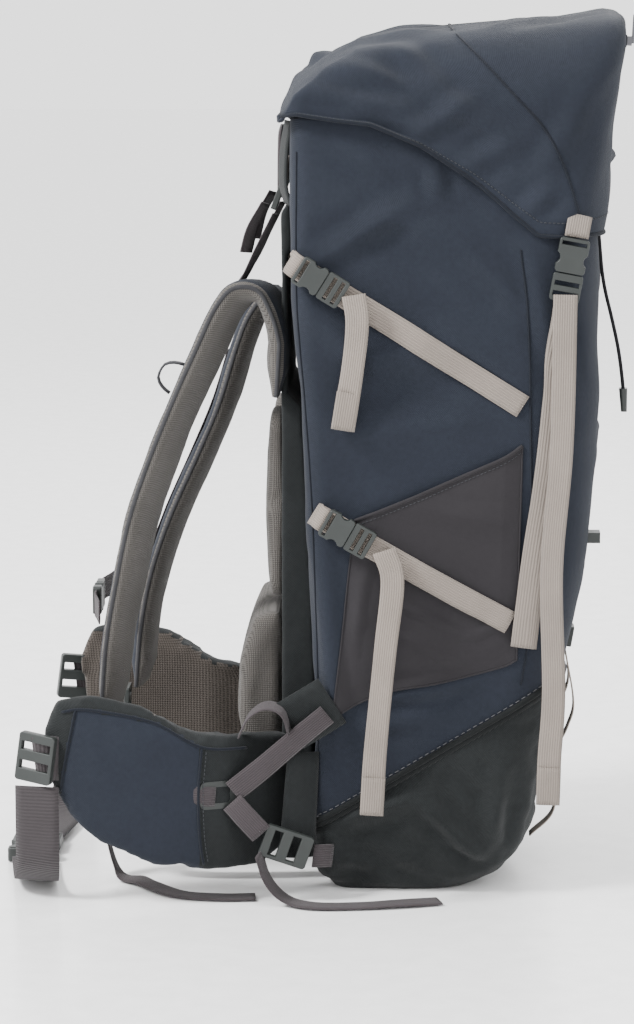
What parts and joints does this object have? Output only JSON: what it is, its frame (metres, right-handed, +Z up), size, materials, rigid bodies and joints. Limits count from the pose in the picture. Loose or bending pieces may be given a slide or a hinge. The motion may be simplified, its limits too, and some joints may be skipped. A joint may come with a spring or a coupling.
{
  "type": "hiking backpack",
  "caption": "Framed hiking backpack with hinged lid, base compartment, stretch side pockets, padded harness, hip belt and clip straps.",
  "frame": {"origin": "middle of the flat face under the base compartment, on the ground", "axes": "+Z up, +X to the front of the pack, away from the wearer's back, +Y to the wearer's right"},
  "size_m": [0.5448, 0.3554, 0.7541],
  "materials": {
    "navy_fabric": "woven, matt",
    "charcoal_fabric": "woven, matt",
    "lining_fabric": "thin coated cloth",
    "pocket_fabric": "stretch knit",
    "mesh_fabric": "spacer mesh",
    "fin_fabric": "woven, matt",
    "beige_webbing": "ribbed webbing",
    "grey_webbing": "ribbed webbing",
    "buckle_plastic": "moulded, satin",
    "zip_tape": "coated",
    "zip_metal": "satin",
    "frame_plastic": "plain",
    "stay_aluminium": "brushed",
    "drawcord": "braided"
  },
  "bodies": {
    "pack": {"back_pads": "mesh_fabric", "back_panel": "mesh_fabric", "base_compartment": "charcoal_fabric", "base_zip": "zip_tape", "compartment_divider": "lining_fabric", "compression_webbing": "beige_webbing", "cord_end_clip": "buckle_plastic", "cord_lock_body": "buckle_plastic", "drawcord_left": "drawcord", "drawcord_right": "drawcord", "frame_sheet": "frame_plastic", "frame_stays": "stay_aluminium", "front_gear_loops": "beige_webbing", "harness_locks": "buckle_plastic", "harness_tails": "grey_webbing", "harness_webbing": "grey_webbing", "lid_clip_plugs": "buckle_plastic", "lid_strap_tails": "beige_webbing", "lid_strap_webbing": "beige_webbing", "lumbar_pad": "mesh_fabric", "main_bag": "navy_fabric", "shoulder_strap_left": "mesh_fabric", "shoulder_strap_right": "mesh_fabric", "side_clip_anchors": "beige_webbing", "side_clip_sockets": "buckle_plastic", "side_pocket_left": "pocket_fabric", "side_pocket_right": "pocket_fabric", "snow_collar": "lining_fabric", "stabiliser_webbing": "grey_webbing", "strap_loops": "grey_webbing", "tool_holders": "buckle_plastic"},
    "haul": {"haul_loop": "charcoal_fabric"},
    "lid": {"lid_shell": "navy_fabric", "lid_clip_sockets": "buckle_plastic", "lid_clip_tabs": "beige_webbing", "lid_zip": "zip_tape"},
    "lid_zip_pull": {"lid_zip_slider": "zip_metal"},
    "base_zip_pull": {"base_zip_slider": "zip_metal"},
    "cord_button": {"cord_lock_button": "buckle_plastic"},
    "fin_left": {"hip_fin_left": "fin_fabric", "hip_lock_left": "buckle_plastic", "hip_webbing_left": "grey_webbing", "hip_buckle_socket": "buckle_plastic", "stabiliser_ring_left": "buckle_plastic"},
    "fin_right": {"hip_fin_right": "fin_fabric", "hip_lock_right": "buckle_plastic", "hip_webbing_right": "grey_webbing", "hip_buckle_plug": "buckle_plastic", "stabiliser_ring_right": "buckle_plastic"},
    "sternum": {"sternum_webbing": "grey_webbing", "sternum_buckle_socket": "buckle_plastic"},
    "sternum_plug": {"sternum_buckle_plug": "buckle_plastic"},
    "clip_upper_left": {"side_clip_upper_left": "buckle_plastic", "side_tail_upper_left": "beige_webbing"},
    "clip_upper_right": {"side_clip_upper_right": "buckle_plastic", "side_tail_upper_right": "beige_webbing"},
    "clip_lower_left": {"side_clip_lower_left": "buckle_plastic", "side_tail_lower_left": "beige_webbing"},
    "clip_lower_right": {"side_clip_lower_right": "buckle_plastic", "side_tail_lower_right": "beige_webbing"}
  },
  "joints": [
    {"name": "lid_hinge", "type": "hinge", "parent": "pack", "child": "lid", "pos_m": [-0.107, 0, 0.668], "axis": [0, -1, 0], "range_deg": [0, 105]},
    {"name": "lid_zip", "type": "slide", "parent": "lid", "child": "lid_zip_pull", "axis": [0, 1, 0], "range_m": [0, 0.18]},
    {"name": "base_zip", "type": "slide", "parent": "pack", "child": "base_zip_pull", "axis": [0, 1, 0], "range_m": [0, 0.084]},
    {"name": "cord_lock_press", "type": "slide", "parent": "pack", "child": "cord_button", "axis": [0, 0, -1], "range_m": [0, 0.003], "stiffness_N_per_m": 400},
    {"name": "haul_loop_fold", "type": "hinge", "parent": "pack", "child": "haul", "pos_m": [-0.1085, 0, 0.598], "axis": [0, -1, 0], "range_deg": [0, 80]},
    {"name": "hip_fin_left_swing", "type": "hinge", "parent": "pack", "child": "fin_left", "pos_m": [-0.108, -0.108, 0.1], "axis": [0, 0, 1], "range_deg": [0, 16], "deforming": ["stabiliser_webbing"]},
    {"name": "hip_fin_right_swing", "type": "hinge", "parent": "pack", "child": "fin_right", "pos_m": [-0.108, 0.108, 0.1], "axis": [0, 0, -1], "range_deg": [0, 16]},
    {"name": "sternum_height", "type": "slide", "parent": "pack", "child": "sternum", "axis": [-0.156, 0, -0.9878], "range_m": [-0.02, 0.02]},
    {"name": "sternum_clip", "type": "slide", "parent": "sternum", "child": "sternum_plug", "axis": [0, 1, 0], "range_m": [0, 0.018], "deforming": ["sternum_webbing"]},
    {"name": "side_clip_upper_left", "type": "slide", "parent": "pack", "child": "clip_upper_left", "axis": [0.8509, 0, -0.5253], "range_m": [0, 0.022]},
    {"name": "side_clip_upper_right", "type": "slide", "parent": "pack", "child": "clip_upper_right", "axis": [0.8509, 0, -0.5253], "range_m": [0, 0.022]},
    {"name": "side_clip_lower_left", "type": "slide", "parent": "pack", "child": "clip_lower_left", "axis": [0.8709, 0, -0.4915], "range_m": [0, 0.022]},
    {"name": "side_clip_lower_right", "type": "slide", "parent": "pack", "child": "clip_lower_right", "axis": [0.8709, 0, -0.4915], "range_m": [0, 0.022]}
  ]
}
